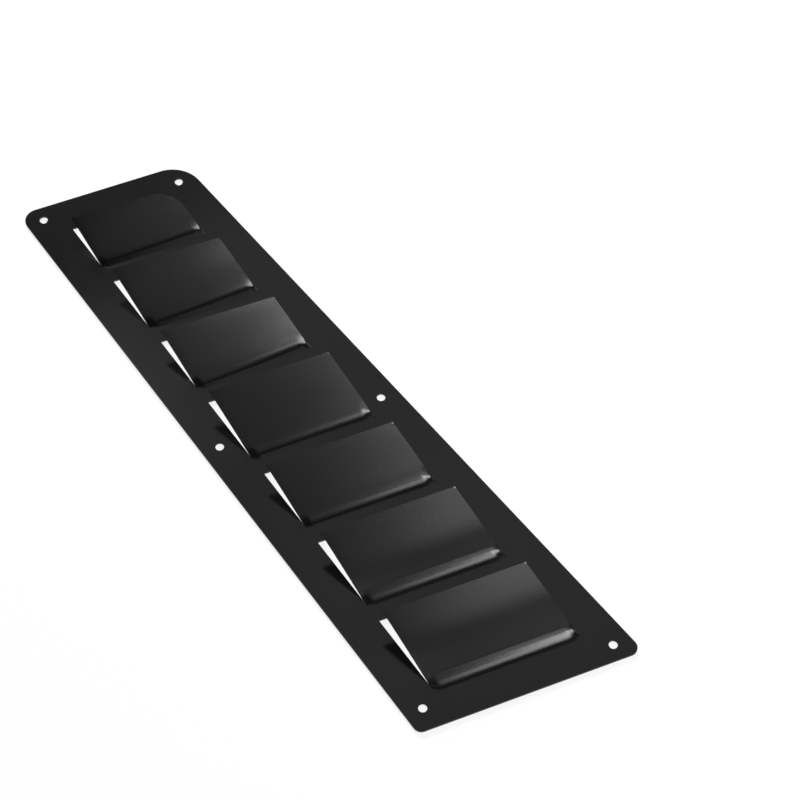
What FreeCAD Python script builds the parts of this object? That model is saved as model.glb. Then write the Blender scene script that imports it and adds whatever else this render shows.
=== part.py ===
import FreeCAD
import Part
import Sketcher
import math
import os

# Louvred bonnet vent for one side of a bonnet.
# One thin sheet is cut along three sides of seven flaps, and each flap is bent up about its
# fourth side, so that it leaves an open mouth on the side that faces the narrow end.
#
# Frame: the origin lies midway between the two middle screw holes, on the underside.
# X runs along the pairs of screw holes, Y towards the narrow end and Z up, out of the bonnet.
# The long axis of the panel leans from Y, and the ends and the folds turn a little from X.

LOUVRES = 7

# Driving sizes in millimetres and degrees. Louvre 1 stands next to the wide, near end.
driving_sizes = {
    # outline: lengths along the long axis, widths along the slanted ends
    "panel_length": 420.0,
    "middle_to_near_end": 211.5,
    "near_end_width": 131.5,
    "far_end_width": 106.0,
    "end_slant_angle": 15.6,
    "near_corner_radius": 5.0,
    "far_left_corner_radius": 8.0,
    "far_right_corner_radius": 21.0,
    "sheet_thickness": 1.2,
    # screw holes in pairs along X: each hole set in from the long edge beside it, and the outer
    # pairs set in along Y from the middles of the ends
    "pair_slant_angle": 17.3,
    "hole_inset": 11.0,
    "near_pair_inset": 10.9,
    "far_pair_inset": 10.3,
    "hole_diameter": 5.0,
    # plain border left round the louvres, along the folds and square to them
    "side_border": 22.0,
    "near_border": 24.0,
    "far_border": 21.8,
    # flat length of each flap, from its fold to its free edge
    "flap_length_1": 45.0,
    "flap_length_2": 42.9,
    "flap_length_3": 37.9,
    "flap_length_4": 42.0,
    "flap_length_5": 34.9,
    "flap_length_6": 36.8,
    "flap_length_7": 31.2,
    # bend: a round fold, then a flap that is slightly crowned up to its lip
    "fold_radius": 12.0,
    "fold_angle": 32.0,
    "crown_radius": 400.0,
    "cut_width": 0.4,
    "last_corner_radius": 13.0,
}

document = FreeCAD.newDocument("bonnet_vent")

sizes = document.addObject("Spreadsheet::Sheet", "Sizes")
for row, (alias, size) in enumerate(driving_sizes.items(), start=1):
    sizes.set(f"A{row}", alias)
    sizes.set(f"B{row}", str(size))
    sizes.setAlias(f"B{row}", alias)
document.recompute()

# Values worked out from the driving sizes, so that each sketch refers to them by name.
# u runs along the folds and v square to them, from the same origin as X and Y.
worked = document.addObject("App::VarSet", "Worked")


def work_out(name, expression):
    worked.addProperty("App::PropertyFloat", name)
    worked.setExpression(name, expression)


work_out("fold_turn", "Sizes.pair_slant_angle - Sizes.end_slant_angle")
work_out("near_v", "-Sizes.middle_to_near_end * cos(Sizes.end_slant_angle)")
work_out("far_v", "(Sizes.panel_length - Sizes.middle_to_near_end) * cos(Sizes.end_slant_angle)")
work_out("lean", "tan(Sizes.end_slant_angle)")
work_out("taper", "(Sizes.far_end_width - Sizes.near_end_width) / 2 / (far_v - near_v)")
work_out("middle_half_width", "Sizes.near_end_width / 2 - taper * near_v")
work_out("left_slope", "-lean - taper")
work_out("right_slope", "-lean + taper")

# The fold starts before the fold line by this tangent length.
work_out("fold_reach", "Sizes.fold_radius * tan(Sizes.fold_angle / 2)")
work_out("fold_arc", "(Sizes.fold_radius + Sizes.sheet_thickness / 2) * Sizes.fold_angle * pi / 180")
flap_lengths = [f"Sizes.flap_length_{number}" for number in range(1, LOUVRES + 1)]
work_out("free_span", "far_v - near_v - Sizes.near_border - Sizes.far_border")
slot_lengths = [f"{flap_length} + Sizes.cut_width" for flap_length in flap_lengths]
work_out("web", f"(free_span - ({' + '.join(slot_lengths)})) / {LOUVRES - 1}")
for number, flap_length in enumerate(flap_lengths, start=1):
    if number == 1:
        fold_place = "near_v + Sizes.near_border"
    else:
        fold_place = f"slot_end_{number - 1} + web"
    work_out(f"fold_{number}", fold_place)
    work_out(f"slot_start_{number}", f"fold_{number} - fold_reach")
    work_out(f"flat_lip_{number}", f"fold_{number} + {flap_length}")
    work_out(f"slot_end_{number}", f"flat_lip_{number} + Sizes.cut_width")
    crown_length = f"({flap_length} + fold_reach - fold_arc)"
    crown_middle_radius = "(Sizes.crown_radius - Sizes.sheet_thickness / 2)"
    work_out(f"crown_angle_{number}", f"{crown_length} / {crown_middle_radius} * 180 / pi")
    fold_run = "Sizes.fold_radius * sin(Sizes.fold_angle)"
    lip_turn = f"sin(Sizes.fold_angle - crown_angle_{number})"
    crown_run = f"Sizes.crown_radius * (sin(Sizes.fold_angle) - {lip_turn})"
    work_out(f"lip_{number}", f"slot_start_{number} + {fold_run} + {crown_run}")
# Each flap has a short foot inside the sheet, which joins the two.
work_out("foot_length", "2 * Sizes.sheet_thickness")
near_end_y = "Sizes.middle_to_near_end * cos(Sizes.pair_slant_angle)"
far_end_y = "(Sizes.panel_length - Sizes.middle_to_near_end) * cos(Sizes.pair_slant_angle)"
work_out("near_pair_y", f"Sizes.near_pair_inset - {near_end_y}")
work_out("far_pair_y", f"{far_end_y} - Sizes.far_pair_inset")
document.recompute()


def edge_u(side, v):
    """Where a long edge crosses v, with side -1 for the left edge and 1 for the right one."""
    slope = "Worked.left_slope" if side < 0 else "Worked.right_slope"
    return f"({side} * Worked.middle_half_width + {slope} * ({v}))"


def slot_u(side, v):
    """Where the side of a slot crosses v, parallel to the long edge beside it."""
    return f"({edge_u(side, v)} - ({side}) * Sizes.side_border)"


def number_of(expression):
    return float(worked.evalExpression(expression))


def origin_plane(body, role):
    return next(plane for plane in body.Origin.OriginFeatures if plane.Role == role)


def new_body(name):
    body = document.addObject("PartDesign::Body", name)
    body.Label = name
    return body


def new_sketch(body, name, role):
    sketch = body.newObject("Sketcher::SketchObject", name)
    sketch.AttachmentSupport = [(origin_plane(body, role), "")]
    sketch.MapMode = "FlatFace"
    return sketch


def turn_to_folds(sketch):
    """Turns a sketch in the XY plane so that its axes are u and v."""
    sketch.setExpression("AttachmentOffset.Rotation.Angle", "Worked.fold_turn * 1 deg")


def constrain(sketch, kind, *place, expression):
    """Adds a dimension and binds it. The first value is only where the solver starts."""
    start = number_of(expression)
    if kind == "Angle":
        start = math.radians(start)
        expression = f"({expression}) * 1 deg"
    index = sketch.addConstraint(Sketcher.Constraint(kind, *place, start))
    sketch.setExpression(f"Constraints[{index}]", expression)


def add_four_sides(sketch, near_y, far_y, near_left_x, near_right_x, far_right_x, far_left_x):
    """Draws a closed outline of four straight sides, of which the near and far ones are level."""
    corners = (
        (near_left_x, near_y),
        (near_right_x, near_y),
        (far_right_x, far_y),
        (far_left_x, far_y),
    )
    points = [FreeCAD.Vector(number_of(x), number_of(y), 0) for x, y in corners]
    first = sketch.GeometryCount
    for index, point in enumerate(points):
        sketch.addGeometry(Part.LineSegment(point, points[(index + 1) % 4]))
    for index in range(4):
        following = first + (index + 1) % 4
        sketch.addConstraint(Sketcher.Constraint("Coincident", first + index, 2, following, 1))
    near_side = first
    far_side = first + 2
    sketch.addConstraint(Sketcher.Constraint("Horizontal", near_side))
    sketch.addConstraint(Sketcher.Constraint("Horizontal", far_side))
    constrain(sketch, "DistanceY", -1, 1, near_side, 1, expression=near_y)
    constrain(sketch, "DistanceY", -1, 1, far_side, 1, expression=far_y)
    for index, (x, _) in enumerate(corners):
        constrain(sketch, "DistanceX", -1, 1, first + index, 1, expression=x)


def upright_edge_at(shape, x, y):
    """Names the edge that stands upright at a corner of the sheet."""
    reach = 0.001
    for index, edge in enumerate(shape.Edges, start=1):
        places = [vertex.Point for vertex in edge.Vertexes]
        if all(math.hypot(place.x - x, place.y - y) < reach for place in places):
            return f"Edge{index}"
    raise ValueError(f"no upright edge at {x:.2f}, {y:.2f}")


def row_place(u, v):
    """Turns a place along and across the folds into X and Y."""
    turn = math.radians(worked.fold_turn)
    x = u * math.cos(turn) - v * math.sin(turn)
    y = u * math.sin(turn) + v * math.cos(turn)
    return x, y


def round_corners(body, name, places, radius):
    """Rounds upright edges of the sheet, given by their places along and across the folds."""
    document.recompute()
    base = body.Tip
    edges = [upright_edge_at(base.Shape, *row_place(u, v)) for u, v in places]
    rounding = body.newObject("PartDesign::Fillet", name)
    rounding.Base = (base, edges)
    rounding.setExpression("Radius", radius)
    return rounding


# The flat sheet: outline, slots and screw holes
sheet = new_body("flat_sheet")
outline = new_sketch(sheet, "outline", "XY_Plane")
turn_to_folds(outline)
near_v = "Worked.near_v"
far_v = "Worked.far_v"
add_four_sides(
    outline, near_v, far_v,
    edge_u(-1, near_v), edge_u(1, near_v), edge_u(1, far_v), edge_u(-1, far_v),
)
blank = sheet.newObject("PartDesign::Pad", "blank")
blank.Profile = outline
blank.setExpression("Length", "Sizes.sheet_thickness")


def corner(side, v, place):
    return number_of(place(side, v)), number_of(v)


near_corners = [corner(side, near_v, edge_u) for side in (-1, 1)]
round_corners(sheet, "near_corners", near_corners, "Sizes.near_corner_radius")
round_corners(sheet, "far_left_corner", [corner(-1, far_v, edge_u)], "Sizes.far_left_corner_radius")
round_corners(sheet, "far_right_corner", [corner(1, far_v, edge_u)], "Sizes.far_right_corner_radius")

slots = new_sketch(sheet, "slots", "XY_Plane")
turn_to_folds(slots)
for number in range(1, LOUVRES + 1):
    start_v = f"Worked.slot_start_{number}"
    end_v = f"Worked.slot_end_{number}"
    add_four_sides(
        slots, start_v, end_v,
        slot_u(-1, start_v), slot_u(1, start_v), slot_u(1, end_v), slot_u(-1, end_v),
    )
slot_cut = sheet.newObject("PartDesign::Pocket", "slot_cut")
slot_cut.Profile = slots
slot_cut.Type = "ThroughAll"
slot_cut.Midplane = True
last_end = f"Worked.slot_end_{LOUVRES}"
round_corners(sheet, "last_slot_corner", [corner(1, last_end, slot_u)], "Sizes.last_corner_radius")


def hole_x(side, y):
    """Where a hole of the pair at y lies, set in along X from the long edge beside it."""
    start = f"({side} * Worked.middle_half_width)"
    slope = "Worked.left_slope" if side < 0 else "Worked.right_slope"
    turn = "Worked.fold_turn"
    v = f"((({y}) - {start} * sin({turn})) / (cos({turn}) + {slope} * sin({turn})))"
    edge_x = f"(({start} + {slope} * {v}) * cos({turn}) - {v} * sin({turn}))"
    return f"({edge_x} - ({side}) * Sizes.hole_inset)"


holes = new_sketch(sheet, "screw_holes", "XY_Plane")
middle_pair_y = "0"
middle_spacing = f"({hole_x(1, middle_pair_y)} - {hole_x(-1, middle_pair_y)})"
for pair_y in ("Worked.near_pair_y", middle_pair_y, "Worked.far_pair_y"):
    for side in (-1, 1):
        if pair_y == middle_pair_y:
            # The origin is exactly midway between these two.
            place_x = f"({side} * {middle_spacing} / 2)"
        else:
            place_x = hole_x(side, pair_y)
        centre = FreeCAD.Vector(number_of(place_x), number_of(pair_y), 0)
        radius = number_of("Sizes.hole_diameter / 2")
        hole = holes.addGeometry(Part.Circle(centre, FreeCAD.Vector(0, 0, 1), radius))
        constrain(holes, "DistanceX", -1, 1, hole, 3, expression=place_x)
        if pair_y == middle_pair_y:
            holes.addConstraint(Sketcher.Constraint("PointOnObject", hole, 3, -1))
        else:
            constrain(holes, "DistanceY", -1, 1, hole, 3, expression=pair_y)
        constrain(holes, "Diameter", hole, expression="Sizes.hole_diameter")
hole_cut = sheet.newObject("PartDesign::Pocket", "hole_cut")
hole_cut.Profile = holes
hole_cut.Type = "ThroughAll"
hole_cut.Midplane = True


def flap_side_u(side, number, v):
    """The side of a bent flap seen from above, from the start of its fold to its lip.

    A flap's blank is smaller than its slot by the width of the cut. Bending moves a point of
    the blank square to the fold, so the lip keeps the place along the fold that it had.
    """
    start_v = f"Worked.slot_start_{number}"
    flat_lip_v = f"Worked.flat_lip_{number}"
    start_u = f"({slot_u(side, start_v)} - ({side}) * Sizes.cut_width)"
    lip_u = f"({slot_u(side, flat_lip_v)} - ({side}) * Sizes.cut_width)"
    share = f"(({v}) - {start_v}) / (Worked.lip_{number} - {start_v})"
    return f"({start_u} + ({lip_u} - {start_u}) * {share})"


def draw_flap_section(sketch, number):
    """Draws a flap's section across its fold: the foot, the fold and the crowned blade.

    In the sketch, x is v and y is Z.
    """
    thickness = number_of("Sizes.sheet_thickness")
    fold_radius = number_of("Sizes.fold_radius")
    crown_radius = number_of("Sizes.crown_radius")
    fold_angle = math.radians(number_of("Sizes.fold_angle"))
    crown_angle = math.radians(number_of(f"Worked.crown_angle_{number}"))
    fold_start = number_of(f"Worked.slot_start_{number}")
    foot_start = fold_start - number_of("Worked.foot_length")
    up = FreeCAD.Vector(0, 0, 1)
    quarter_turn = math.pi / 2

    def arc(centre, radius, start, end):
        return sketch.addGeometry(Part.ArcOfCircle(Part.Circle(centre, up, radius), start, end))

    def line(start, end):
        return sketch.addGeometry(Part.LineSegment(start, end))

    def on_circle(centre, radius, turn):
        return centre + FreeCAD.Vector(math.cos(turn), math.sin(turn), 0) * radius

    fold_centre = FreeCAD.Vector(fold_start, thickness + fold_radius, 0)
    fold_end = fold_angle - quarter_turn
    crown_centre = on_circle(fold_centre, fold_radius + crown_radius, fold_end)
    crown_start = fold_angle + quarter_turn
    lip_turn = crown_start - crown_angle
    under_radius = crown_radius - thickness
    heel_bottom = FreeCAD.Vector(foot_start, 0, 0)
    heel_top = FreeCAD.Vector(foot_start, thickness, 0)

    under_foot = line(heel_bottom, FreeCAD.Vector(fold_start, 0, 0))
    under_fold = arc(fold_centre, fold_radius + thickness, -quarter_turn, fold_end)
    under_blade = arc(crown_centre, under_radius, lip_turn, crown_start)
    lip = line(
        on_circle(crown_centre, under_radius, lip_turn),
        on_circle(crown_centre, crown_radius, lip_turn),
    )
    top_blade = arc(crown_centre, crown_radius, lip_turn, crown_start)
    top_fold = arc(fold_centre, fold_radius, -quarter_turn, fold_end)
    top_foot = line(FreeCAD.Vector(fold_start, thickness, 0), heel_top)
    heel = line(heel_top, heel_bottom)

    # A curve's point 1 is its start, 2 its end and 3 its centre.
    for joint in (
        ("Tangent", under_foot, 2, under_fold, 1),
        ("Tangent", under_fold, 2, under_blade, 2),
        ("Coincident", under_blade, 1, lip, 1),
        ("Perpendicular", lip, 2, top_blade, 1),
        ("Tangent", top_blade, 2, top_fold, 2),
        ("Tangent", top_fold, 1, top_foot, 1),
        ("Coincident", top_foot, 2, heel, 1),
        ("Coincident", heel, 2, under_foot, 1),
        ("Coincident", under_fold, 3, top_fold, 3),
        ("Coincident", under_blade, 3, top_blade, 3),
        ("PointOnObject", under_foot, 1, -1),
        ("Horizontal", under_foot),
        ("Horizontal", top_foot),
        ("Vertical", heel),
    ):
        sketch.addConstraint(Sketcher.Constraint(*joint))
    fold_start_v = f"Worked.slot_start_{number}"
    heel_v = f"{fold_start_v} - Worked.foot_length"
    constrain(sketch, "DistanceX", -1, 1, under_foot, 1, expression=heel_v)
    constrain(sketch, "DistanceX", -1, 1, under_foot, 2, expression=fold_start_v)
    constrain(sketch, "DistanceY", heel, 2, heel, 1, expression="Sizes.sheet_thickness")
    constrain(sketch, "Radius", top_fold, expression="Sizes.fold_radius")
    constrain(sketch, "Radius", top_blade, expression="Sizes.crown_radius")
    constrain(sketch, "Angle", top_fold, expression="Sizes.fold_angle")
    constrain(sketch, "Angle", top_blade, expression=f"Worked.crown_angle_{number}")


def add_waste_with_round(sketch, near_y, far_y, outer_x, near_x, corner_x):
    """Draws the waste beyond a flap's right side, with the flap's far corner left round."""
    radius = number_of("Sizes.last_corner_radius")
    near = FreeCAD.Vector(number_of(near_x), number_of(near_y), 0)
    sharp = FreeCAD.Vector(number_of(corner_x), number_of(far_y), 0)
    outer_near = FreeCAD.Vector(number_of(outer_x), near.y, 0)
    outer_far = FreeCAD.Vector(number_of(outer_x), sharp.y, 0)
    up = FreeCAD.Vector(0, 0, 1)
    back = (near - sharp).normalize()
    across = FreeCAD.Vector(-1, 0, 0)
    tangent_length = radius / math.tan(back.getAngle(across) / 2)
    side_end = sharp + back * tangent_length
    far_start = sharp + across * tangent_length
    centre = far_start - FreeCAD.Vector(0, radius, 0)
    circle = Part.Circle(centre, up, radius)
    side_turn = math.atan2(side_end.y - centre.y, side_end.x - centre.x)

    side = sketch.addGeometry(Part.LineSegment(near, side_end))
    corner_round = sketch.addGeometry(Part.ArcOfCircle(circle, side_turn, math.pi / 2))
    far = sketch.addGeometry(Part.LineSegment(far_start, outer_far))
    outer = sketch.addGeometry(Part.LineSegment(outer_far, outer_near))
    back_line = sketch.addGeometry(Part.LineSegment(outer_near, near))
    sharp_corner = sketch.addGeometry(Part.Point(sharp), True)
    for joint in (
        ("Tangent", side, 2, corner_round, 1),
        ("Tangent", corner_round, 2, far, 1),
        ("Coincident", far, 2, outer, 1),
        ("Coincident", outer, 2, back_line, 1),
        ("Coincident", back_line, 2, side, 1),
        ("Horizontal", far),
        ("Vertical", outer),
        ("Horizontal", back_line),
        ("PointOnObject", sharp_corner, 1, side),
    ):
        sketch.addConstraint(Sketcher.Constraint(*joint))
    constrain(sketch, "DistanceX", -1, 1, side, 1, expression=near_x)
    constrain(sketch, "DistanceY", -1, 1, side, 1, expression=near_y)
    constrain(sketch, "DistanceX", -1, 1, outer, 1, expression=outer_x)
    constrain(sketch, "DistanceY", -1, 1, outer, 1, expression=far_y)
    constrain(sketch, "DistanceX", -1, 1, sharp_corner, 1, expression=corner_x)
    constrain(sketch, "DistanceY", -1, 1, sharp_corner, 1, expression=far_y)
    constrain(sketch, "Radius", corner_round, expression="Sizes.last_corner_radius")


def make_flap(number):
    """Makes one bent flap: its section run along the fold, with both sides trimmed to the slot."""
    flap = new_body(f"flap_{number}")
    flap.setExpression("Placement.Rotation.Angle", "Worked.fold_turn * 1 deg")
    fold_v = f"Worked.fold_{number}"
    middle_u = f"(-Worked.lean * {fold_v})"

    section = new_sketch(flap, f"flap_section_{number}", "YZ_Plane")
    section.setExpression("AttachmentOffset.Base.z", middle_u)
    draw_flap_section(section, number)
    strip = flap.newObject("PartDesign::Pad", f"flap_strip_{number}")
    strip.Profile = section
    strip.Midplane = True
    strip.setExpression("Length", "Sizes.near_end_width")

    trim = new_sketch(flap, f"flap_trim_{number}", "XY_Plane")
    near_trim = f"(Worked.slot_start_{number} - 2 * Worked.foot_length)"
    far_trim = f"(Worked.lip_{number} + Worked.foot_length)"
    lip_trim = f"(Worked.lip_{number} + Sizes.sheet_thickness * sin(Sizes.fold_angle))"
    for side in (-1, 1):
        outer_u = f"({middle_u} + ({side}) * Sizes.near_end_width)"
        near_u = flap_side_u(side, number, near_trim)
        if number == LOUVRES and side > 0:
            corner_u = flap_side_u(side, number, lip_trim)
            add_waste_with_round(trim, near_trim, lip_trim, outer_u, near_u, corner_u)
        else:
            far_u = flap_side_u(side, number, far_trim)
            add_four_sides(trim, near_trim, far_trim, outer_u, near_u, far_u, outer_u)
    sides = flap.newObject("PartDesign::Pocket", f"flap_sides_{number}")
    sides.Profile = trim
    sides.Type = "ThroughAll"
    sides.Midplane = True
    return flap


flaps = [make_flap(number) for number in range(1, LOUVRES + 1)]

# The panel is one piece: the flat sheet and its seven flaps
panel = document.addObject("Part::MultiFuse", "panel")
panel.Label = "louvre_panel"
panel.Shapes = [sheet, *flaps]
panel.Refine = True
document.recompute()

faults = [item.Name for item in document.Objects if {"Invalid", "Error"} & set(item.State)]
if faults:
    raise RuntimeError(f"these did not build: {faults}")

sub_parts = [panel]
for sub_part in sub_parts:
    shape = sub_part.Shape
    if shape.isNull() or not shape.isValid():
        raise RuntimeError(f"{sub_part.Label} is not a sound solid")
    if len(shape.Solids) != 1:
        raise RuntimeError(f"{sub_part.Label} came out as {len(shape.Solids)} solids")

os.makedirs("parts", exist_ok=True)
for sub_part in sub_parts:
    shape = sub_part.Shape
    shape.exportStep(os.path.join("parts", f"{sub_part.Label}.step"))
    box = shape.BoundBox
    print(
        f"{sub_part.Label}: {shape.Volume / 1000:.2f} cm3, "
        f"{box.XLength:.1f} x {box.YLength:.1f} x {box.ZLength:.1f} mm"
    )
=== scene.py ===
# %% [markdown]
# A bonnet vent is one thin sheet of aluminium or steel with a row of louvres. Seven flaps are
# cut along three sides and bent up about the fourth, and the whole panel has a black satin
# coat. The construction model comes in first as a fixed frame, so that everything made here
# lands on it. Its box is kept, because the looks may not grow out of it.

import math

import bpy
import bmesh
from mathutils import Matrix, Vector
from mathutils.geometry import delaunay_2d_cdt


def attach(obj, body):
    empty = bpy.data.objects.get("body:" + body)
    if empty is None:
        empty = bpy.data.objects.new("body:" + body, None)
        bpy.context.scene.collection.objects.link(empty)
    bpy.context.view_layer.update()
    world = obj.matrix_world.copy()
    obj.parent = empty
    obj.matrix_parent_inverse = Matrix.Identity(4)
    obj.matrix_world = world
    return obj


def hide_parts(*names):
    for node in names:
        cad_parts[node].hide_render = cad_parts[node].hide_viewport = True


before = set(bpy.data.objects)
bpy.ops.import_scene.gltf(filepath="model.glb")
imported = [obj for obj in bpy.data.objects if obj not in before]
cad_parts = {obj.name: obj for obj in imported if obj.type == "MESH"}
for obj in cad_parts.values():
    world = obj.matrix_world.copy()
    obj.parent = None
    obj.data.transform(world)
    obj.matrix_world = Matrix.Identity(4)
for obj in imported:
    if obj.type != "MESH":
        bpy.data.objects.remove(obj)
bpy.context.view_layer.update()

# %% [markdown]
# The CAD mesh has the right shape, but its folds are made of a few wide facets and its edges
# are knife sharp, which a gloss coat shows at once. The sheet is therefore drawn again from
# the same sizes, with finer folds and soft edges. Bending the CAD mesh with modifiers would
# keep its facets, and sculpting by hand would lose the sizes, so it is drawn in code. As in
# the model, u runs along the folds and v square to them, from the middle screw pair.

# %% Sizes of the sheet, in millimetres and radians
MM = 0.001
PANEL_LENGTH = 420.0
MIDDLE_TO_NEAR_END = 211.5
NEAR_END_WIDTH = 131.5
FAR_END_WIDTH = 106.0
END_SLANT = math.radians(15.6)
PAIR_SLANT = math.radians(17.3)
SHEET = 1.2
SIDE_BORDER = 22.0

fold_turn = PAIR_SLANT - END_SLANT
near_v = -MIDDLE_TO_NEAR_END * math.cos(END_SLANT)
far_v = (PANEL_LENGTH - MIDDLE_TO_NEAR_END) * math.cos(END_SLANT)
lean = math.tan(END_SLANT)
taper = (FAR_END_WIDTH - NEAR_END_WIDTH) / 2 / (far_v - near_v)
half_width = NEAR_END_WIDTH / 2 - taper * near_v
print("panel in plan, v from", round(near_v, 1), "to", round(far_v, 1))

# %% [markdown]
# The long edges lean and draw together, so a place along an edge depends on v. The screw
# pairs stand at a small angle to the folds, and the frame's X runs along them. Four helpers
# hold this, so that everything after them can be counted in u and v.


# %% Places on the sheet
def edge_u(side, v):
    """Where the left (-1) or right (1) long edge crosses v."""
    return side * half_width + (side * taper - lean) * v


def slot_u(side, v):
    """Where the side of a slot crosses v."""
    return edge_u(side, v) - side * SIDE_BORDER


def frame_point(u, v, z):
    """Turns u, v and z in millimetres into a place in the frame, in metres."""
    x = u * math.cos(fold_turn) - v * math.sin(fold_turn)
    y = u * math.sin(fold_turn) + v * math.cos(fold_turn)
    return Vector((x * MM, y * MM, z * MM))


def sheet_place(x, y):
    """Turns the frame's X and Y in millimetres into u and v."""
    u = x * math.cos(fold_turn) + y * math.sin(fold_turn)
    v = y * math.cos(fold_turn) - x * math.sin(fold_turn)
    return Vector((u, v))


print("panel width at the middle screws in mm:", round(edge_u(1, 0) - edge_u(-1, 0), 1))

# %% [markdown]
# Each flap starts where its fold begins, a little before the fold line, and ends at its lip.
# The web is what stays flat between one slot and the next. The list below holds, for each
# louvre from the wide end on, where its slot starts and ends and where its lip stands.

# %% Where the louvres stand
NEAR_BORDER = 24.0
FAR_BORDER = 21.8
FLAP_LENGTHS = (45.0, 42.9, 37.9, 42.0, 34.9, 36.8, 31.2)
FOLD_RADIUS = 12.0
FOLD_ANGLE = math.radians(32.0)
CROWN_RADIUS = 400.0
LIP_CUT = 0.4

fold_reach = FOLD_RADIUS * math.tan(FOLD_ANGLE / 2)
fold_arc = (FOLD_RADIUS + SHEET / 2) * FOLD_ANGLE
free_span = far_v - near_v - NEAR_BORDER - FAR_BORDER
web = (free_span - sum(FLAP_LENGTHS) - LIP_CUT * len(FLAP_LENGTHS)) / (len(FLAP_LENGTHS) - 1)

louvres = []
fold_v = near_v + NEAR_BORDER
for flap_length in FLAP_LENGTHS:
    crown_angle = (flap_length + fold_reach - fold_arc) / (CROWN_RADIUS - SHEET / 2)
    lip_angle = FOLD_ANGLE - crown_angle
    crown_run = CROWN_RADIUS * (math.sin(FOLD_ANGLE) - math.sin(lip_angle))
    start_v = fold_v - fold_reach
    louvres.append({
        "start": start_v,
        "flat_lip": fold_v + flap_length,
        "end": fold_v + flap_length + LIP_CUT,
        "lip": start_v + FOLD_RADIUS * math.sin(FOLD_ANGLE) + crown_run,
    })
    fold_v += flap_length + LIP_CUT + web
print("web between slots in mm:", round(web, 2))

# %% [markdown]
# Seen from the side, a flap is a round fold and then a blade with a slight crown, so that it
# flattens towards its lip. Real flaps are pressed over a tool, and the crown is what makes
# their gloss change from fold to lip. The gloss also shows a fold that is softer than the
# model's, about 20 mm in radius and not 12. It starts a little before the slot, on the flat
# sheet, and runs into the same blade, so the lip stays where the model has it.

# %% Section of a flap
SOFT_RADIUS = 20.0
SOFT_LEAD = (SOFT_RADIUS - FOLD_RADIUS) * math.tan(FOLD_ANGLE / 2)
SOFT_END = SOFT_RADIUS * math.sin(FOLD_ANGLE) - SOFT_LEAD


def tight_rise(run):
    """How high a flap's top has risen at a run from its slot's start, with the model's fold."""
    if run <= FOLD_RADIUS * math.sin(FOLD_ANGLE):
        return FOLD_RADIUS - math.sqrt(FOLD_RADIUS ** 2 - max(run, 0) ** 2)
    centre_run = (FOLD_RADIUS + CROWN_RADIUS) * math.sin(FOLD_ANGLE)
    centre_z = FOLD_RADIUS - (FOLD_RADIUS + CROWN_RADIUS) * math.cos(FOLD_ANGLE)
    return centre_z + math.sqrt(CROWN_RADIUS ** 2 - (centre_run - run) ** 2)


def soft_rise(run):
    """How high the softer fold has risen at the same run, which may be below 0."""
    reach = max(run + SOFT_LEAD, 0)
    return SOFT_RADIUS - math.sqrt(SOFT_RADIUS ** 2 - reach ** 2)


def softening(run):
    """What the softer fold adds to the tight one, nothing once the blade is reached."""
    return soft_rise(run) - tight_rise(run) if run < SOFT_END else 0


print("soft fold, run from", round(-SOFT_LEAD, 1), "to", round(SOFT_END, 1), "mm")

# %% [markdown]
# The flat part of the sheet is cut out in plan: an outline with four round corners, seven
# slots and six screw holes. Each is a closed loop of points. A corner gets its arc from the
# two straight sides that meet there, with enough points to look round close up.

# %% Loops with round corners
NEAR_CORNER_RADIUS = 5.0
FAR_LEFT_CORNER_RADIUS = 8.0
FAR_RIGHT_CORNER_RADIUS = 21.0
ARC_STEP = 0.7
FEWEST_ARC_STEPS = 6


def rounded_loop(corners):
    """Turns corners (u, v, radius), in order, into a closed loop of points with round corners."""
    loop = []
    for index, (u, v, radius) in enumerate(corners):
        corner = Vector((u, v))
        before = (Vector(corners[index - 1][:2]) - corner).normalized()
        after = (Vector(corners[(index + 1) % len(corners)][:2]) - corner).normalized()
        if radius == 0:
            loop.append(corner)
            continue
        half = before.angle(after) / 2
        centre = corner + (before + after).normalized() * radius / math.sin(half)
        arm = corner + before * radius / math.tan(half) - centre
        turn = arm.angle_signed(corner + after * radius / math.tan(half) - centre)
        steps = max(FEWEST_ARC_STEPS, round(abs(turn) * radius / ARC_STEP))
        for step in range(steps + 1):
            swing = turn * step / steps
            cosine, sine = math.cos(swing), -math.sin(swing)
            loop.append(centre + Vector((
                arm.x * cosine - arm.y * sine,
                arm.x * sine + arm.y * cosine,
            )))
    return loop


outline = rounded_loop([
    (edge_u(-1, near_v), near_v, NEAR_CORNER_RADIUS),
    (edge_u(1, near_v), near_v, NEAR_CORNER_RADIUS),
    (edge_u(1, far_v), far_v, FAR_RIGHT_CORNER_RADIUS),
    (edge_u(-1, far_v), far_v, FAR_LEFT_CORNER_RADIUS),
])
print("outline points:", len(outline))

# %% [markdown]
# The screw holes stand in three pairs, each pair along the frame's X and each hole at one
# distance from its long edge. They are plain round holes, so a ring of points is enough.

# %% Screw holes
HOLE_RADIUS = 2.5
HOLE_INSET = 11.0
NEAR_PAIR_INSET = 10.9
FAR_PAIR_INSET = 10.3
HOLE_POINTS = 56


def hole_x(side, y):
    """X of the screw hole at y beside a long edge."""
    slope = side * taper - lean
    v = y - side * half_width * math.sin(fold_turn)
    v /= math.cos(fold_turn) + slope * math.sin(fold_turn)
    edge_x = edge_u(side, v) * math.cos(fold_turn) - v * math.sin(fold_turn)
    return edge_x - side * HOLE_INSET


def ring(centre, radius, count, first_share=0.0):
    """Points round a centre, the first one at a share of a step."""
    turns = [2 * math.pi * (step + first_share) / count for step in range(count)]
    return [centre + radius * Vector((math.cos(turn), math.sin(turn))) for turn in turns]


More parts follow.
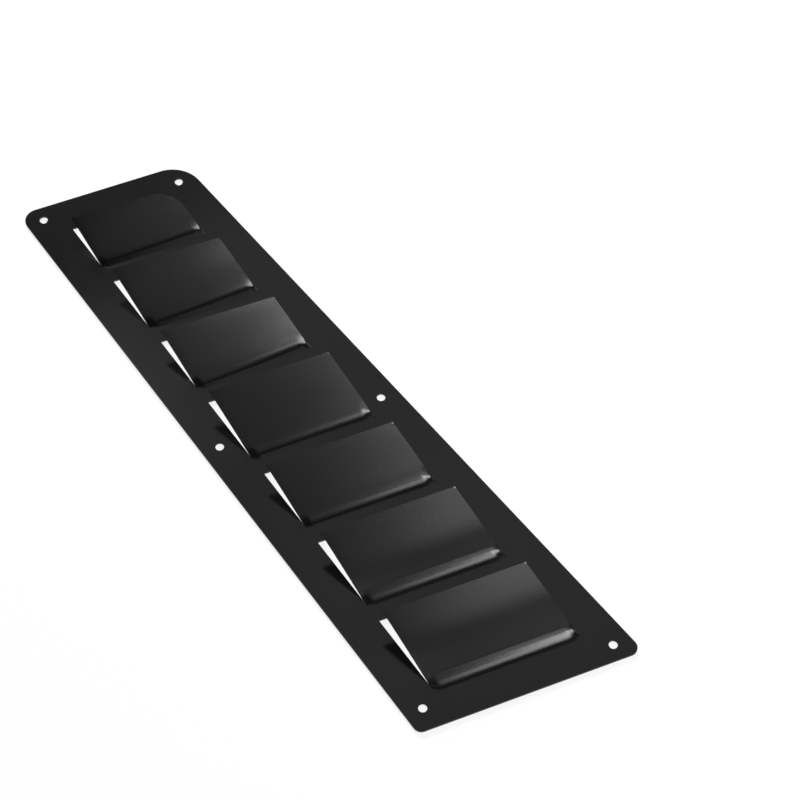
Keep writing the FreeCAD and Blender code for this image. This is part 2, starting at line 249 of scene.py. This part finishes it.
near_pair_y = NEAR_PAIR_INSET - MIDDLE_TO_NEAR_END * math.cos(PAIR_SLANT)
far_pair_y = (PANEL_LENGTH - MIDDLE_TO_NEAR_END) * math.cos(PAIR_SLANT) - FAR_PAIR_INSET
middle_x = (hole_x(1, 0) - hole_x(-1, 0)) / 2
hole_centres = [sheet_place(-middle_x, 0), sheet_place(middle_x, 0)]
hole_centres += [
    sheet_place(hole_x(side, y), y) for y in (near_pair_y, far_pair_y) for side in (-1, 1)
]
holes = [ring(centre, HOLE_RADIUS, HOLE_POINTS) for centre in hole_centres]
print("middle screws", round(2 * middle_x, 1), "mm apart, holes:", len(holes))

# %% [markdown]
# A flap hangs on its slot's near side. That side is shared, so it holds the same points as
# the flap's first row, and the two meet without a seam. A shear leaves only a hair of space
# at each side. The columns of a flap run from its left cut to its right one, and stand closer
# together near both, where the sides are rolled. The last slot has a round right corner.

# %% Slots with the flaps' first rows in them
SIDE_CUT = 0.1
LAST_CORNER_RADIUS = 13.0
COLUMNS = 36
SIDE_COLUMNS = 7
SIDE_SHARE = 0.075


def column_share(step):
    """Where a column stands across a flap, 0 at its left cut and 1 at its right one."""
    if step <= SIDE_COLUMNS:
        return SIDE_SHARE * step / SIDE_COLUMNS
    if step >= COLUMNS - SIDE_COLUMNS:
        return 1 - SIDE_SHARE * (COLUMNS - step) / SIDE_COLUMNS
    middle_step = (step - SIDE_COLUMNS) / (COLUMNS - 2 * SIDE_COLUMNS)
    return SIDE_SHARE + (1 - 2 * SIDE_SHARE) * middle_step


def flap_u(side, louvre, v):
    """Where a bent flap's side crosses v, seen from above."""
    start_u = slot_u(side, louvre["start"]) - side * SIDE_CUT
    lip_u = slot_u(side, louvre["flat_lip"]) - side * SIDE_CUT
    share = (v - louvre["start"]) / (louvre["lip"] - louvre["start"])
    return start_u + (lip_u - start_u) * share


slots = []
for louvre in louvres:
    start_v, end_v = louvre["start"], louvre["end"]
    is_last = louvre is louvres[-1]
    loop = rounded_loop([
        (slot_u(-1, end_v), end_v, 0),
        (slot_u(-1, start_v), start_v, 0),
        (slot_u(1, start_v), start_v, 0),
        (slot_u(1, end_v), end_v, LAST_CORNER_RADIUS if is_last else 0),
    ])
    left_u, right_u = flap_u(-1, louvre, start_v), flap_u(1, louvre, start_v)
    first_row = [
        Vector((left_u + (right_u - left_u) * column_share(step), start_v))
        for step in range(COLUMNS + 1)
    ]
    slots.append(loop[:2] + first_row + loop[2:])
print("slot loops:", [len(slot) for slot in slots])

# %% [markdown]
# Between the loops the sheet needs loose points, so that no triangle is a long splinter. At
# a soft edge a splinter shows as a dark spike in the gloss. A grid fills the broad parts,
# two rings lie round each screw hole, and rows lie before each fold, where the sheet rises.


# %% Tests for a point of the sheet
def is_inside(point, loop):
    """True where a point lies in a closed loop, by counting the sides that it crosses."""
    inside = False
    for index, b in enumerate(loop):
        a = loop[index - 1]
        if (a.y > point.y) != (b.y > point.y):
            cross_u = a.x + (point.y - a.y) / (b.y - a.y) * (b.x - a.x)
            if point.x < cross_u:
                inside = not inside
    return inside


def is_sheet(point):
    """True where a point lies in the outline and in no slot or hole."""
    return is_inside(point, outline) and not any(is_inside(point, cut) for cut in slots + holes)


def distance_to(point, a, b):
    """How far a point lies from the straight side between a and b."""
    share = (point - a).dot(b - a) / (b - a).length_squared
    return (point - a - (b - a) * min(max(share, 0), 1)).length


print("is the first hole's centre sheet?", is_sheet(hole_centres[0]))

# %% [markdown]
# The rows and rings come first. A grid point is left out where it would stand close to one of
# them or to a loop. Every second row of the grid is shifted, which gives even triangles.

# %% Loose points
GRID = 6.0
KEEP_OFF = 2.0
LEAD_STEP = 2.0
LEAD_MARGIN = 0.7
LEAD_SHARES = (1.0, 0.8, 0.6, 0.4, 0.2)
HOLE_RINGS = ((0.7, HOLE_POINTS), (1.8, HOLE_POINTS // 2))

placed = []
for louvre in louvres:
    start_v = louvre["start"]
    left_u, right_u = slot_u(-1, start_v), slot_u(1, start_v)
    steps = round((right_u - left_u) / LEAD_STEP)
    for lead in [-SOFT_LEAD - LEAD_MARGIN] + [-SOFT_LEAD * share for share in LEAD_SHARES]:
        for step in range(steps + 1):
            placed.append(Vector((left_u + (right_u - left_u) * step / steps, start_v + lead)))
for centre in hole_centres:
    for gap, count in HOLE_RINGS:
        placed += ring(centre, HOLE_RADIUS + gap, count, first_share=0.5)

points, sides = [], []
for loop in [outline] + slots + holes:
    first = len(points)
    points += loop
    sides += [(first + step, first + (step + 1) % len(loop)) for step in range(len(loop))]
loop_sides = [(points[a], points[b]) for a, b in sides]

gridded = []
for row in range(1, int((far_v - near_v) / GRID)):
    v = near_v + GRID * row
    for column in range(int(NEAR_END_WIDTH / GRID) + 1):
        place = Vector((edge_u(-1, v) + GRID * (column + 0.5 * (row % 2)), v))
        is_free = all((place - other).length > KEEP_OFF for other in placed)
        if is_free and is_sheet(place):
            if all(distance_to(place, a, b) > KEEP_OFF for a, b in loop_sides):
                gridded.append(place)
points += placed + gridded
print("points on loops:", len(sides), " placed:", len(placed), " gridded:", len(gridded))

# %% [markdown]
# A constrained Delaunay mesh keeps every loop's sides and makes the best triangles between
# the points. It fills the slots and holes too, so triangles that lie there are left out.

# %% Fill the flat sheet
filled, _, triangles, *_ = delaunay_2d_cdt(points, sides, [], 0, 1e-5)
sheet_faces = []
for triangle in triangles:
    middle = sum((filled[index] for index in triangle), Vector((0, 0))) / 3
    if is_sheet(middle):
        sheet_faces.append(list(triangle))
print("flat sheet:", len(filled), "points,", len(sheet_faces), "triangles")

# %% [markdown]
# A flap is a mesh of rows and columns. Its rows follow the section, and stand closer together
# in the fold. On the last flap the rows crowd together towards the lip too, and their right
# ends follow the round corner.

# %% Rows of a flap
FOLD_ROWS = 26
BLADE_STEP = 1.0
CORNER_ROWS = 24


def flap_rows(louvre, is_last):
    """Rows of (left u, right u, v, z) from the fold's start to the lip."""
    whole_run = louvre["lip"] - louvre["start"]
    blade_end = whole_run - LAST_CORNER_RADIUS if is_last else whole_run
    blade = blade_end - SOFT_END
    blade_rows = round(blade / BLADE_STEP)
    runs = [SOFT_END * step / FOLD_ROWS for step in range(FOLD_ROWS + 1)]
    runs += [SOFT_END + blade * step / blade_rows for step in range(1, blade_rows + 1)]
    if is_last:
        turns = [math.pi / 2 * step / CORNER_ROWS for step in range(1, CORNER_ROWS + 1)]
        runs += [blade_end + LAST_CORNER_RADIUS * math.sin(turn) for turn in turns]
    rows = []
    for run in runs:
        v, z = louvre["start"] + run, SHEET + tight_rise(run)
        left_u, right_u = flap_u(-1, louvre, v), flap_u(1, louvre, v)
        depth = run - blade_end
        if is_last and depth > 0:
            half_chord = math.sqrt(max(LAST_CORNER_RADIUS ** 2 - depth ** 2, 0))
            right_u -= LAST_CORNER_RADIUS - half_chord
        rows.append((left_u, right_u, v, z))
    return rows


flaps = [flap_rows(louvre, louvre is louvres[-1]) for louvre in louvres]
print("lip heights in mm:", [round(rows[-1][3], 1) for rows in flaps])

# %% [markdown]
# No two flaps of a pressed panel stand quite alike, and a gloss coat shows it: a degree of
# tilt or twist moves a lamp's reflection by half a flap. Each left side is rolled down a
# little, where the shear drags the metal, and the right end of each fold is drawn down into a
# small round corner, which catches the light. The softer fold fades out towards the cut
# sides, where the sheet beside the cut holds it flat. A bump could not move the outline, so
# the points themselves move.

# %% Marks of the press
TILTS = (-0.3, 0.5, 0.0, 0.0, 0.3, 0.0, 1.0)
TWISTS = (0.0, 0.0, 0.0, 0.2, 2.0, 1.3, 0.9)
TWIST_RUN = 12.0
SIDE_ROLL = 0.04
SIDE_ROLL_WIDTH = 5.0
SIDE_ROLL_RUN = 9.0
CORNER_DRAW = 0.3
CORNER_DRAW_WIDTH = 5.0
CORNER_DRAW_RUNS = (1.0, 5.0, 12.0)
SOFT_SIDE = 5.0
ROUNDING = 0.001


def ease(start, end, value):
    """Goes smoothly from 0 at start to 1 at end."""
    share = min(max((value - start) / (end - start), 0), 1)
    return share * share * (3 - 2 * share)


def tilt_lift(number, run):
    """What a flap's tilt adds. It comes in smoothly over the fold."""
    slope = math.tan(FOLD_ANGLE + math.radians(TILTS[number])) - math.tan(FOLD_ANGLE)
    share = min(run / SOFT_END, 1)
    return slope * (SOFT_END * (share ** 3 - share ** 4 / 2) + max(run - SOFT_END, 0))


def pressed_lift(number, run, from_left, from_right):
    """How far a point of a flap stands off its plain section, in millimetres."""
    lift = tilt_lift(number, run)
    across = (from_left - from_right) / 2
    lift -= math.tan(math.radians(TWISTS[number])) * across * ease(0, TWIST_RUN, run)
    roll = max(1 - from_left / SIDE_ROLL_WIDTH, 0)
    lift -= SIDE_ROLL * roll * roll * ease(0, SIDE_ROLL_RUN, run)
    draw = max(1 - from_right / CORNER_DRAW_WIDTH, 0)
    start, deepest, end = CORNER_DRAW_RUNS
    lift -= CORNER_DRAW * draw * draw * ease(start, deepest, run) * (1 - ease(deepest, end, run))
    return lift + softening(run) * ease(0, SOFT_SIDE, min(from_left, from_right))


def sheet_lift(place):
    """How far the sheet rises just before a fold, in millimetres."""
    for louvre in louvres:
        start_v = louvre["start"]
        run = place.y - start_v
        if -SOFT_LEAD < run < ROUNDING:
            from_left = place.x - flap_u(-1, louvre, start_v)
            from_right = flap_u(1, louvre, start_v) - place.x
            return soft_rise(run) * ease(0, SOFT_SIDE, min(from_left, from_right))
    return 0


print("flaps tilted by", TILTS, "and twisted by", TWISTS, "degrees")

# %% [markdown]
# Sheet and flaps go into one mesh. Points that fall on each other are merged, so a flap
# grows out of the sheet with no seam, as pressed metal does.

# %% Build the skin
MERGE_DISTANCE = 1e-6

skin = bmesh.new()
flat_points = [
    skin.verts.new(frame_point(place.x, place.y, SHEET + sheet_lift(place))) for place in filled
]
for triangle in sheet_faces:
    skin.faces.new([flat_points[index] for index in triangle])
for number, rows in enumerate(flaps):
    grid = []
    for left_u, right_u, v, z in rows:
        width = right_u - left_u
        run = v - louvres[number]["start"]
        row_points = []
        for step in range(COLUMNS + 1):
            from_left = width * column_share(step)
            lift = pressed_lift(number, run, from_left, width - from_left)
            row_points.append(skin.verts.new(frame_point(left_u + from_left, v, z + lift)))
        grid.append(row_points)
    for near_row, far_row in zip(grid, grid[1:]):
        for step in range(COLUMNS):
            skin.faces.new((
                near_row[step], near_row[step + 1], far_row[step + 1], far_row[step]
            ))
loose = [point for point in skin.verts if not point.link_faces]
bmesh.ops.delete(skin, geom=loose, context="VERTS")
bmesh.ops.remove_doubles(skin, verts=skin.verts, dist=MERGE_DISTANCE)
bmesh.ops.recalc_face_normals(skin, faces=skin.faces)
skin.normal_update()
if sum(face.normal.z for face in skin.faces) < 0:
    bmesh.ops.reverse_faces(skin, faces=skin.faces)
panel_mesh = bpy.data.meshes.new("coated_panel")
skin.to_mesh(panel_mesh)
skin.free()
panel_mesh.shade_smooth()
panel = bpy.data.objects.new("coated_panel", panel_mesh)
bpy.context.scene.collection.objects.link(panel)
print("skin:", len(panel_mesh.vertices), "points,", len(panel_mesh.polygons), "faces")

# %% [markdown]
# The skin is the sheet's top. Solidify gives it the gauge downwards, so that the bend keeps
# one thickness. A punched edge is never a true corner: the coat flows round it and catches a
# thin line of light. Bevel makes that round, and Weighted Normal keeps the broad faces flat
# in the shading while the small round ones blend.

# %% Thickness and soft edges
EDGE_ROUND = 0.16
EDGE_ANGLE = math.radians(50)

gauge = panel.modifiers.new("gauge", "SOLIDIFY")
gauge.thickness = SHEET * MM
gauge.offset = -1
gauge.use_even_offset = True
soft_edge = panel.modifiers.new("soft_edge", "BEVEL")
soft_edge.width = EDGE_ROUND * MM
soft_edge.segments = 2
soft_edge.limit_method = "ANGLE"
soft_edge.angle_limit = EDGE_ANGLE
soft_edge.use_clamp_overlap = True
even_shading = panel.modifiers.new("even_shading", "WEIGHTED_NORMAL")
even_shading.keep_sharp = True

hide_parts("louvre_panel")
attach(panel, "root")
finished = panel.evaluated_get(bpy.context.evaluated_depsgraph_get())
print("finished panel:", len(finished.data.polygons), "faces")

# %% [markdown]
# Shader maths reads best as plain sums. This small class wraps a socket, so that adding or
# multiplying two values lays down the Math node, and one method makes any other node. The
# reflected forms let a plain number stand first, as in 1 - mask.


# %% A small language for shaders
class Wire:
    """A socket of a material's node tree that can be added, multiplied and taken from 1."""

    def __init__(self, tree, socket):
        self.tree = tree
        self.socket = socket

    def node(self, kind, settings=None, **values):
        """Makes a node from its type, its settings and what its sockets are given.

        A socket is called by its name, with _ for a space, or by i and its number.
        """
        made = self.tree.nodes.new(kind)
        for name, setting in (settings or {}).items():
            setattr(made, name, setting)
        for name, value in values.items():
            socket = made.inputs[int(name[1:]) if name[1:].isdigit() else name.replace("_", " ")]
            if isinstance(value, Wire):
                self.tree.links.new(value.socket, socket)
            else:
                socket.default_value = value
        return made

    def out(self, kind, output=0, settings=None, **values):
        """Makes a node and wraps one of its outputs."""
        return Wire(self.tree, self.node(kind, settings, **values).outputs[output])

    def maths(self, operation, a, b):
        return self.out("ShaderNodeMath", settings={"operation": operation}, i0=a, i1=b)

    def __add__(self, other):
        return self.maths("ADD", self, other)

    def __mul__(self, other):
        return self.maths("MULTIPLY", self, other)

    def __rsub__(self, other):
        return self.maths("SUBTRACT", other, self)

    __radd__ = __add__
    __rmul__ = __mul__


def new_material(name):
    """Makes an empty material and a first wire to build its nodes from."""
    material = bpy.data.materials.new(name)
    material.use_nodes = True
    material.node_tree.nodes.clear()
    return material, Wire(material.node_tree, None)


print("shader language ready")

# %% [markdown]
# The finish is a black satin powder coat. It melts on in the oven, so it has a faint orange
# peel, it reflects lamps as soft patches, and it is a touch duller in some places than in
# others. An image could not keep its scale on a bent sheet, so the peel is noise in the
# object's own space, feeding a bump, and a slower noise changes the roughness and the tint.

# %% Black satin coat
DEEP_BLACK = (0.0034, 0.0034, 0.0035, 1)
WORN_BLACK = (0.0048, 0.0048, 0.005, 1)

coat, start = new_material("black_satin_coat")
place = start.out("ShaderNodeTexCoord", output=3)
peel = start.out("ShaderNodeTexNoise", Vector=place, Scale=620.0, Detail=2.0, Roughness=0.5)
cloud = start.out("ShaderNodeTexNoise", Vector=place, Scale=18.0, Detail=3.0, Roughness=0.55)
speck = start.out("ShaderNodeTexNoise", Vector=place, Scale=1900.0, Detail=1.0, Roughness=0.5)
tint = start.out(
    "ShaderNodeMix", output=2, settings={"data_type": "RGBA"},
    i0=cloud, i6=DEEP_BLACK, i7=WORN_BLACK,
)
rough = 0.115 + 0.05 * cloud + 0.02 * speck
relief = start.out("ShaderNodeBump", Height=peel, Strength=0.035, Distance=0.0004)
satin = start.out("ShaderNodeBsdfPrincipled", Base_Color=tint, Roughness=rough, Normal=relief)
start.node("ShaderNodeOutputMaterial", Surface=satin)
panel.data.materials.append(coat)
print("coat nodes:", len(coat.node_tree.nodes))

# %% [markdown]
# The stage is a pale floor under the panel and a pale wall far round it, both plain. They
# show as white to the camera, in reflections and to rays that pass through a clear piece,
# and light the panel as a matt pale surface does. Any other ray is 0 in all three masks, so
# the product of 1 - mask picks it out. The floor mixes in a little real shading, so that the
# shadow stays.

# %% Pale stage material
PALE = (0.8, 0.8, 0.8, 1)
WHITE = (1, 1, 1, 1)


def pale_stage(name, lit_share):
    """White where it is seen, with a share of real shading so that a shadow still shows."""
    material, start = new_material(name)
    rays = start.node("ShaderNodeLightPath")
    camera_ray, glossy_ray, clear_ray = (Wire(start.tree, rays.outputs[ray]) for ray in (
        "Is Camera Ray", "Is Glossy Ray", "Is Transmission Ray"
    ))
    unseen = (1 - camera_ray) * (1 - glossy_ray) * (1 - clear_ray)
    glow = start.out("ShaderNodeEmission", Color=WHITE, Strength=1.0 - lit_share)
    shaded = start.out("ShaderNodeBsdfDiffuse", Color=(lit_share, lit_share, lit_share, 1))
    white = start.out("ShaderNodeAddShader", i0=glow, i1=shaded)
    matt = start.out("ShaderNodeBsdfDiffuse", Color=PALE)
    surface = start.out("ShaderNodeMixShader", i0=unseen, i1=white, i2=matt)
    start.node("ShaderNodeOutputMaterial", Surface=surface)
    return material


pale_floor = pale_stage("pale_floor", 0.16)
pale_wall = pale_stage("pale_wall", 0.1)
print("stage materials:", pale_floor.name, "and", pale_wall.name)

# %% [markdown]
# The floor lies a hair below the panel, so that the two never share a plane. The wall is a
# wide open tube, which looks the same from every side.

# %% Floor and wall
FLOOR_DROP = 0.0003
FLOOR_REACH = 7.0
WALL_RADIUS = 6.5
WALL_HEIGHT = 3.0

floor_mesh = bpy.data.meshes.new("floor")
floor_mesh.from_pydata(
    [(x * FLOOR_REACH, y * FLOOR_REACH, 0) for x, y in ((-1, -1), (1, -1), (1, 1), (-1, 1))],
    [], [(0, 1, 2, 3)],
)
floor = bpy.data.objects.new("floor", floor_mesh)
floor.location.z = -FLOOR_DROP
bpy.context.scene.collection.objects.link(floor)
floor.data.materials.append(pale_floor)

bpy.ops.mesh.primitive_cylinder_add(
    vertices=64, radius=WALL_RADIUS, depth=WALL_HEIGHT, end_fill_type="NOTHING"
)
wall = bpy.context.object
wall.name = "wall"
wall.location.z = WALL_HEIGHT / 2 - FLOOR_DROP
wall.data.materials.append(pale_wall)
print("stage: floor", 2 * FLOOR_REACH, "m wide, wall", WALL_HEIGHT, "m high")

# %% [markdown]
# A black gloss sheet shows its surroundings more than its colour, so each lamp is placed by
# what is to mirror it. Soft panels hang at about 1 m and face down. The flat sheet mirrors
# those beyond it, and the blades those in front and to the right. The folds sweep over all
# of them, and show the three brightest as their light bands. Where two panels overlap, they
# hang at different heights and add up. The key lamp stands low at the back, where nothing
# mirrors it, and throws the flaps' shadows forward. The world adds a weak even fill.

# %% Lamps
# Name, left, right, near and far edge, height in metres, brightness
CEILING_PANELS = (
    ("fold_bright", 0.31, 0.80, -0.50, -0.22, 1.02, 9.5),
    ("fold_top", 0.31, 0.80, -0.22, -0.11, 1.02, 4.8),
    ("fold_left", 0.21, 0.31, -0.31, -0.11, 1.01, 3.3),
    ("right_strip", 0.24, 0.55, -0.78, -0.11, 1.0, 1.0),
    ("right_low", 0.29, 0.80, -0.78, -0.50, 1.01, 1.2),
    ("front_wash", -0.35, 0.33, -1.70, -0.85, 1.0, 0.44),
    ("front_right", 0.33, 0.80, -1.70, -0.85, 1.0, 0.66),
    ("middle_wash", 0.05, 0.24, -1.25, 0.0, 1.04, 0.27),
    ("far_near", 0.06, 0.45, 0.16, 0.50, 1.0, 0.44),
    ("far_middle", 0.04, 0.45, 0.50, 0.90, 1.0, 0.38),
    ("far_left", -0.35, 0.04, 0.55, 0.80, 1.0, 0.60),
)
KEY_PLACE = (0.25, 2.5, 1.15)
KEY_SIDE = 0.8
KEY_BRIGHTNESS = 62.0
FILL_STRENGTH = 0.05


def soft_lamp(name, place, target, width, height, brightness):
    """A flat lamp that faces a target. Brightness is what it shows in a mirror, 1 is white."""
    lamp = bpy.data.lights.new(name, "AREA")
    lamp.shape = "RECTANGLE"
    lamp.size = width
    lamp.size_y = height
    lamp.energy = math.pi * width * height * brightness
    holder = bpy.data.objects.new(name, lamp)
    holder.location = place
    holder.rotation_euler = (Vector(target) - Vector(place)).to_track_quat("-Z", "Y").to_euler()
    holder.visible_camera = False
    bpy.context.scene.collection.objects.link(holder)


for name, left, right, near, far, height, brightness in CEILING_PANELS:
    x, y = (left + right) / 2, (near + far) / 2
    soft_lamp(name, (x, y, height), (x, y, 0.0), right - left, far - near, brightness)
soft_lamp("key_lamp", KEY_PLACE, (0.0, 0.0, 0.0), KEY_SIDE, KEY_SIDE, KEY_BRIGHTNESS)

world = bpy.data.worlds.new("studio")
bpy.context.scene.world = world
world.use_nodes = True
world.node_tree.nodes["Background"].inputs["Color"].default_value = WHITE
world.node_tree.nodes["Background"].inputs["Strength"].default_value = FILL_STRENGTH

# %% [markdown]
# The camera stands where the photograph's lens stood, worked out from the panel's outline and
# its six holes. The view is square, so the long lens fits the same field both ways.

# %% Camera
camera_data = bpy.data.cameras.new("camera")
camera_data.sensor_width = 36.0
camera_data.lens = 102.375
camera_data.clip_start = 0.01
camera_data.clip_end = 50.0
camera = bpy.data.objects.new("camera", camera_data)
camera.location = (-0.1749, -0.6536, 1.1206)
camera.rotation_euler = (math.radians(31.61), 0.0, math.radians(-19.807))
bpy.context.scene.collection.objects.link(camera)
bpy.context.scene.camera = camera
bpy.context.scene.view_settings.view_transform = "Standard"
print("camera at", [round(value, 3) for value in camera.location])
